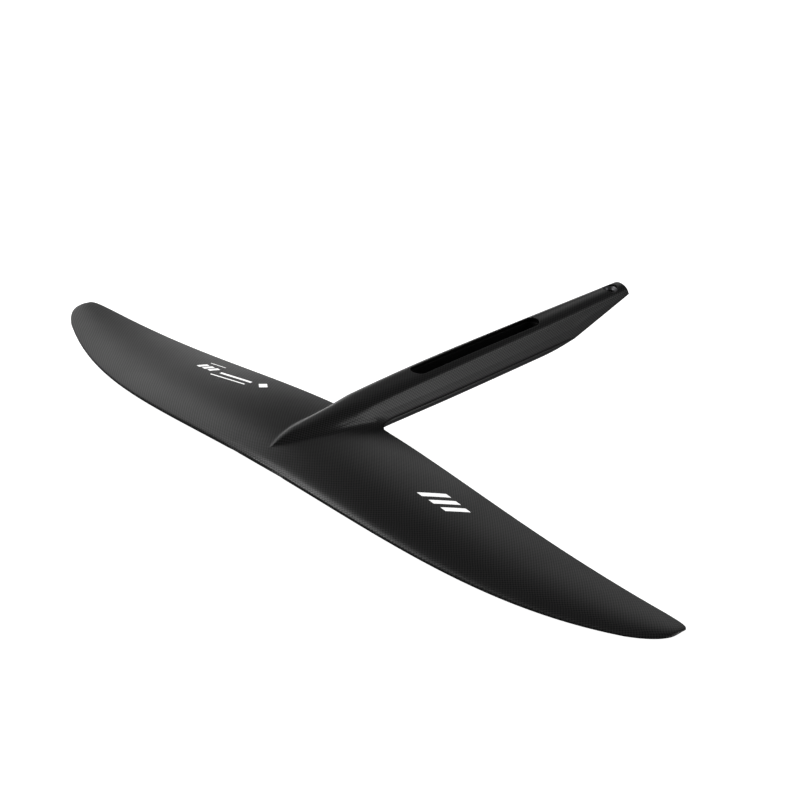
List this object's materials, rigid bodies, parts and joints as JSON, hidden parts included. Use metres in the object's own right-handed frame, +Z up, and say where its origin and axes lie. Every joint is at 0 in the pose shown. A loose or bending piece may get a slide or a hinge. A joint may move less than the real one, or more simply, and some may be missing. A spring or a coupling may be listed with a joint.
{
  "type": "hydrofoil front wing with fuselage",
  "caption": "Carbon hydrofoil front wing moulded in one piece with its fuselage, with a mast pocket on top and a scarfed tail for a stabiliser.",
  "frame": {"origin": "centre of the mast pocket's floor", "axes": "+X along the span to the right-hand tip, +Y rearwards from the leading edge to the tail, +Z up, out of the pocket"},
  "size_m": [0.7956, 0.448, 0.0558],
  "materials": {
    "shell_carbon": "satin clear-coated carbon weave",
    "inner_laminate": "bare carbon laminate",
    "core_foam": "closed-cell foam",
    "bush_steel": "turned stainless steel"
  },
  "bodies": {
    "root": {"upper_shell": "shell_carbon", "lower_shell": "shell_carbon", "spar_cap_upper": "inner_laminate", "spar_cap_lower": "inner_laminate", "shear_web": "inner_laminate", "parting_flange_left": "inner_laminate", "parting_flange_right": "inner_laminate", "mast_pocket_liner": "inner_laminate", "pocket_block": "inner_laminate", "tail_block": "inner_laminate", "wing_core_front_left": "core_foam", "wing_core_front_right": "core_foam", "wing_core_rear_left": "core_foam", "wing_core_rear_right": "core_foam", "fuselage_core_front": "core_foam", "fuselage_core_rear": "core_foam", "mast_screw_bush_front": "bush_steel", "mast_screw_bush_rear": "bush_steel", "tail_screw_bush": "bush_steel"}
  },
  "joints": []
}
